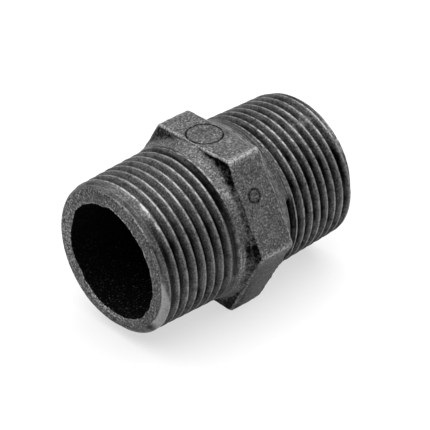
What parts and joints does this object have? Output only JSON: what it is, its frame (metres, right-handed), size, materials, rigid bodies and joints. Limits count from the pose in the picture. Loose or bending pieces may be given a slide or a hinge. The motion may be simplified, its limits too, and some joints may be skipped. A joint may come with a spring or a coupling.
{
  "type": "hex nipple",
  "caption": "Cast iron pipe nipple with a taper pipe thread at each end, a spanner hexagon in the middle and an open bore through it.",
  "frame": {"origin": "on the axis of the bore, at the middle of the hexagon and of the length", "axes": "X along the bore, +Z square to the upper flat of the hexagon, Y through two opposite corners of the hexagon"},
  "size_m": [0.053, 0.0412, 0.036],
  "materials": {
    "malleable_iron": "black malleable iron as cast, with bare machined threads and end faces and a rough cored bore"
  },
  "bodies": {
    "root": {"nipple_body": "malleable_iron"}
  },
  "joints": []
}
